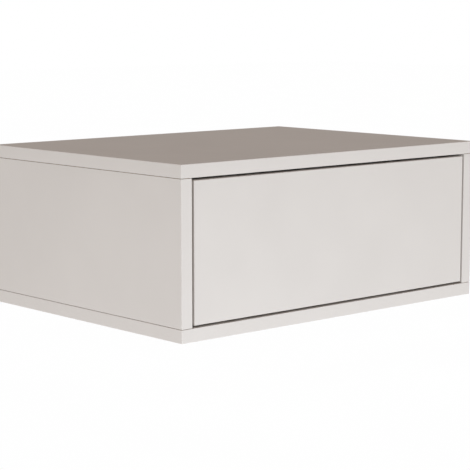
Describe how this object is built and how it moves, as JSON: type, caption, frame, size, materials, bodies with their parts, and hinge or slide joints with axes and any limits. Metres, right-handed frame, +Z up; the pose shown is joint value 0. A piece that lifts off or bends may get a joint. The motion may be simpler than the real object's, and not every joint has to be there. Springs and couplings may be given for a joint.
{
  "type": "floating nightstand",
  "caption": "Wall-hung bedside cabinet with a handleless push-to-open drawer on ball-bearing runners, hung on a hidden wall rail.",
  "frame": {"origin": "middle of the wall rail's back face, on the line of its screw slots, where it lies on the wall", "axes": "+Z up, +Y into the wall, so the drawer opens towards -Y, and +X to the right of someone who faces the drawer"},
  "size_m": [0.5, 0.37, 0.204],
  "materials": {
    "board": "matt cashmere melamine-faced chipboard with matching edging",
    "panel": "thin fibreboard lacquered in the cabinet's colour",
    "beech": "raw fluted beech",
    "steel": "bright zinc-plated steel",
    "zinc": "matt die-cast zinc",
    "cage": "bright steel balls in a steel strip",
    "housing": "satin white moulded plastic",
    "lever": "black moulded plastic",
    "rubber": "grey soft rubber"
  },
  "bodies": {
    "cabinet": {"top_panel": "board", "bottom_panel": "board", "left_side_panel": "board", "right_side_panel": "board", "back_panel": "panel", "cam_lock_left_front": "zinc", "cam_lock_left_rear": "zinc", "cam_lock_right_front": "zinc", "cam_lock_right_rear": "zinc", "cam_bolt_left_front": "steel", "cam_bolt_left_rear": "steel", "cam_bolt_right_front": "steel", "cam_bolt_right_rear": "steel", "confirmat_screw_left_front": "steel", "confirmat_screw_left_rear": "steel", "confirmat_screw_right_front": "steel", "confirmat_screw_right_rear": "steel", "dowel_left": "beech", "dowel_right": "beech", "wall_rail": "steel", "left_hanger_housing": "zinc", "right_hanger_housing": "zinc", "left_hanger_hook": "steel", "right_hanger_hook": "steel", "left_hanger_screw": "steel", "right_hanger_screw": "steel", "left_runner_cabinet_member": "steel", "right_runner_cabinet_member": "steel", "runner_cabinet_screw_left_front": "steel", "runner_cabinet_screw_left_rear": "steel", "runner_cabinet_screw_right_front": "steel", "runner_cabinet_screw_right_rear": "steel", "latch_housing": "housing", "latch_spring": "steel", "latch_screw_left": "steel", "latch_screw_right": "steel"},
    "plunger": {"latch_plunger": "housing", "latch_tip": "rubber"},
    "drawer": {"drawer_front": "board", "drawer_inner_front": "board", "drawer_left_side": "board", "drawer_right_side": "board", "drawer_back": "board", "drawer_bottom": "panel", "front_screw_left": "steel", "front_screw_right": "steel", "left_runner_drawer_member": "steel", "right_runner_drawer_member": "steel", "runner_drawer_screw_left_front": "steel", "runner_drawer_screw_left_rear": "steel", "runner_drawer_screw_right_front": "steel", "runner_drawer_screw_right_rear": "steel"},
    "left_middle_member": {"left_runner_middle_member": "steel"},
    "right_middle_member": {"right_runner_middle_member": "steel"},
    "left_outer_cage": {"left_outer_ball_cage": "cage"},
    "right_outer_cage": {"right_outer_ball_cage": "cage"},
    "left_inner_cage": {"left_inner_ball_cage": "cage"},
    "right_inner_cage": {"right_inner_ball_cage": "cage"},
    "left_lever": {"left_release_lever": "lever"},
    "right_lever": {"right_release_lever": "lever"}
  },
  "joints": [
    {"name": "latch_push", "type": "slide", "parent": "cabinet", "child": "plunger", "axis": [0, -1, 0], "range_m": [-0.003, 0.03], "deforming": ["latch_spring"]},
    {"name": "drawer_pull", "type": "slide", "parent": "plunger", "child": "drawer", "axis": [0, -1, 0], "range_m": [0, 0.27]},
    {"name": "left_middle_slide", "type": "slide", "parent": "cabinet", "child": "left_middle_member", "axis": [0, -1, 0], "range_m": [0, 0.15]},
    {"name": "right_middle_slide", "type": "slide", "parent": "cabinet", "child": "right_middle_member", "axis": [0, -1, 0], "range_m": [0, 0.15]},
    {"name": "left_outer_cage_slide", "type": "slide", "parent": "cabinet", "child": "left_outer_cage", "axis": [0, -1, 0], "range_m": [0, 0.075]},
    {"name": "right_outer_cage_slide", "type": "slide", "parent": "cabinet", "child": "right_outer_cage", "axis": [0, -1, 0], "range_m": [0, 0.075]},
    {"name": "left_inner_cage_slide", "type": "slide", "parent": "cabinet", "child": "left_inner_cage", "axis": [0, -1, 0], "range_m": [0, 0.225]},
    {"name": "right_inner_cage_slide", "type": "slide", "parent": "cabinet", "child": "right_inner_cage", "axis": [0, -1, 0], "range_m": [0, 0.225]},
    {"name": "left_lever_pivot", "type": "hinge", "parent": "drawer", "child": "left_lever", "pos_m": [-0.224, -0.2, -0.067], "axis": [1, 0, 0], "range_deg": [-8, 8], "stiffness_Nm_per_rad": 0.05},
    {"name": "right_lever_pivot", "type": "hinge", "parent": "drawer", "child": "right_lever", "pos_m": [0.224, -0.2, -0.067], "axis": [1, 0, 0], "range_deg": [-8, 8], "stiffness_Nm_per_rad": 0.05}
  ],
  "couplings": [
    {"joint": "left_middle_slide", "follows": "drawer_pull", "ratio": 0.5555},
    {"joint": "right_middle_slide", "follows": "drawer_pull", "ratio": 0.5555},
    {"joint": "left_outer_cage_slide", "follows": "drawer_pull", "ratio": 0.2777},
    {"joint": "right_outer_cage_slide", "follows": "drawer_pull", "ratio": 0.2777},
    {"joint": "left_inner_cage_slide", "follows": "drawer_pull", "ratio": 0.8333},
    {"joint": "right_inner_cage_slide", "follows": "drawer_pull", "ratio": 0.8333}
  ]
}
